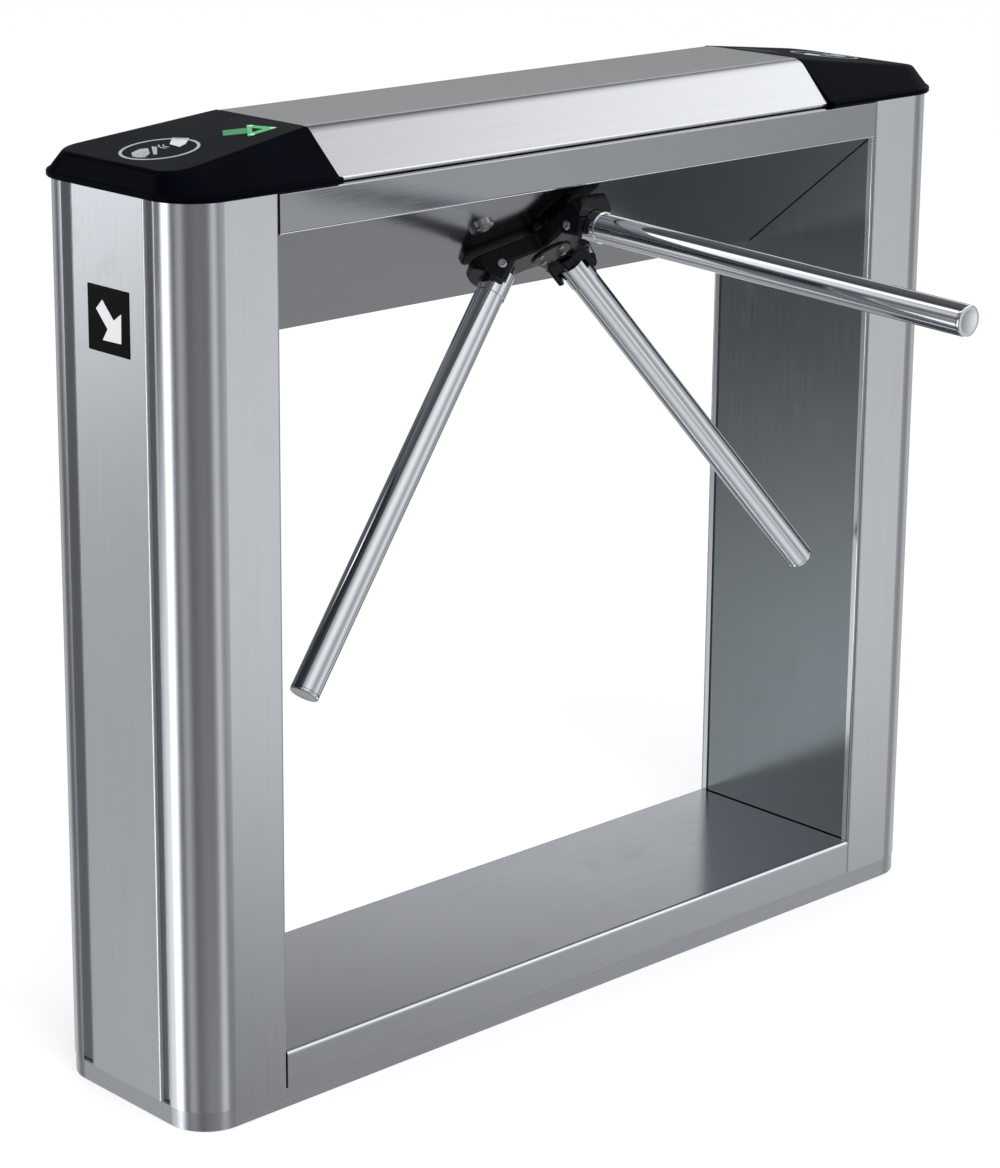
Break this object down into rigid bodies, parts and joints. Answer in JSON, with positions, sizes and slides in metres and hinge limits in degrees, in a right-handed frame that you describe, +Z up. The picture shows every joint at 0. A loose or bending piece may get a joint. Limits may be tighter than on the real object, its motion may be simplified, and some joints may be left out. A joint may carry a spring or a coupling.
{
  "type": "tripod turnstile",
  "caption": "Waist-high tripod turnstile: a brushed steel portal cabinet with a hinged lid and black end caps, and a tilted rotor whose tubular arms bar and release a walking lane.",
  "frame": {"origin": "centre of the floor anchor pattern, on the floor", "axes": "+X along the cabinet and the walking direction, -Y towards the lane that the arms bar, +Z up"},
  "size_m": [1.122, 0.7399, 1.01],
  "materials": {
    "cabinet_steel": "satin brushed sheet",
    "lid_steel": "satin brushed sheet",
    "arm_steel": "polished tube",
    "hub_black": "black semi-gloss coat",
    "cap_black": "gloss",
    "window_black": "gloss",
    "lens_green": "gloss, lit from below",
    "machined_steel": "machined",
    "zinc_steel": "zinc plated",
    "alloy": "machined",
    "rubber_black": "matt",
    "plastic_black": "matt",
    "board_green": "solder mask",
    "motor_black": "satin paint",
    "lock_chrome": "polished"
  },
  "bodies": {
    "housing": {"base_plinth": "cabinet_steel", "base_beam_cover": "cabinet_steel", "far_pillar_shell": "cabinet_steel", "near_pillar_shell": "cabinet_steel", "far_inner_panel": "cabinet_steel", "near_inner_panel": "cabinet_steel", "far_end_panel": "cabinet_steel", "near_end_panel": "cabinet_steel", "beam_trough": "cabinet_steel", "beam_fascia": "cabinet_steel", "far_cap": "cap_black", "near_cap": "cap_black", "far_pictogram_window": "window_black", "near_pictogram_window": "window_black", "far_arrow_lens": "lens_green", "near_arrow_lens": "lens_green", "bearing_outer_races": "machined_steel", "pawl_pivots": "machined_steel", "lid_hinge_leaves": "zinc_steel", "lid_hinge_pins": "zinc_steel", "solenoid_brackets": "zinc_steel", "mechanism_plate": "alloy", "plate_standoffs": "alloy", "bearing_housing": "alloy", "board_standoffs": "alloy", "power_supply": "alloy", "shaft_seal": "rubber_black", "cable_gland": "plastic_black", "encoder_sensor": "plastic_black", "control_board": "board_green", "far_pictogram_board": "board_green", "near_pictogram_board": "board_green", "far_reader_board": "board_green", "near_reader_board": "board_green", "drive_motor": "motor_black", "lock_solenoids": "motor_black", "lid_lock_barrel": "lock_chrome"},
    "rotor": {"tripod_hub": "hub_black", "hub_cover": "hub_black", "barrier_arm_upper": "arm_steel", "barrier_arm_right": "arm_steel", "barrier_arm_left": "arm_steel", "arm_end_plugs": "arm_steel", "arm_collars": "arm_steel", "main_shaft": "machined_steel", "bearing_inner_races": "machined_steel", "lock_disc": "machined_steel", "drive_gear": "machined_steel", "encoder_disc": "plastic_black", "shaft_collar": "machined_steel"},
    "pinion": {"motor_pinion": "machined_steel"},
    "left_pawl": {"left_lock_pawl": "machined_steel"},
    "right_pawl": {"right_lock_pawl": "machined_steel"},
    "left_plunger": {"left_solenoid_plunger": "machined_steel"},
    "right_plunger": {"right_solenoid_plunger": "machined_steel"},
    "lid": {"lid": "lid_steel", "lid_hinge_straps": "zinc_steel", "lid_latch_hook": "zinc_steel"},
    "lid_lock": {"lid_lock_cam": "zinc_steel"}
  },
  "joints": [
    {"name": "rotor_spin", "type": "hinge", "parent": "housing", "child": "rotor", "pos_m": [0, -0.03151, 0.85077], "axis": [0, 0.6293, 0.7771], "continuous": true},
    {"name": "pinion_spin", "type": "hinge", "parent": "housing", "child": "pinion", "pos_m": [0, 0.03066, 0.80043], "axis": [0, 0.6293, 0.7771], "continuous": true},
    {"name": "left_pawl_swing", "type": "hinge", "parent": "housing", "child": "left_pawl", "pos_m": [-0.076, -0.06726, 0.87972], "axis": [0, -0.6293, -0.7771], "range_deg": [0, 12], "stiffness_Nm_per_rad": 0.2, "springref_deg": -17.19},
    {"name": "right_pawl_swing", "type": "hinge", "parent": "housing", "child": "right_pawl", "pos_m": [0.076, -0.06726, 0.87972], "axis": [0, 0.6293, 0.7771], "range_deg": [0, 12], "stiffness_Nm_per_rad": 0.2, "springref_deg": -17.19},
    {"name": "left_plunger_slide", "type": "slide", "parent": "housing", "child": "left_plunger", "axis": [1, 0, 0], "range_m": [0, 0.01329]},
    {"name": "right_plunger_slide", "type": "slide", "parent": "housing", "child": "right_plunger", "axis": [-1, 0, 0], "range_m": [0, 0.01329]},
    {"name": "lid_swing", "type": "hinge", "parent": "housing", "child": "lid", "pos_m": [0, 0.127, 0.9603], "axis": [-1, 0, 0], "range_deg": [0, 100]},
    {"name": "lid_lock_turn", "type": "hinge", "parent": "housing", "child": "lid_lock", "pos_m": [-0.122, -0.06649, 0.87909], "axis": [0, 0.6293, 0.7771], "range_deg": [0, 90]}
  ],
  "couplings": [
    {"joint": "pinion_spin", "follows": "rotor_spin", "ratio": -3.4444},
    {"joint": "left_plunger_slide", "follows": "left_pawl_swing", "m_per_rad": 0.063459},
    {"joint": "right_plunger_slide", "follows": "right_pawl_swing", "m_per_rad": 0.063459}
  ]
}
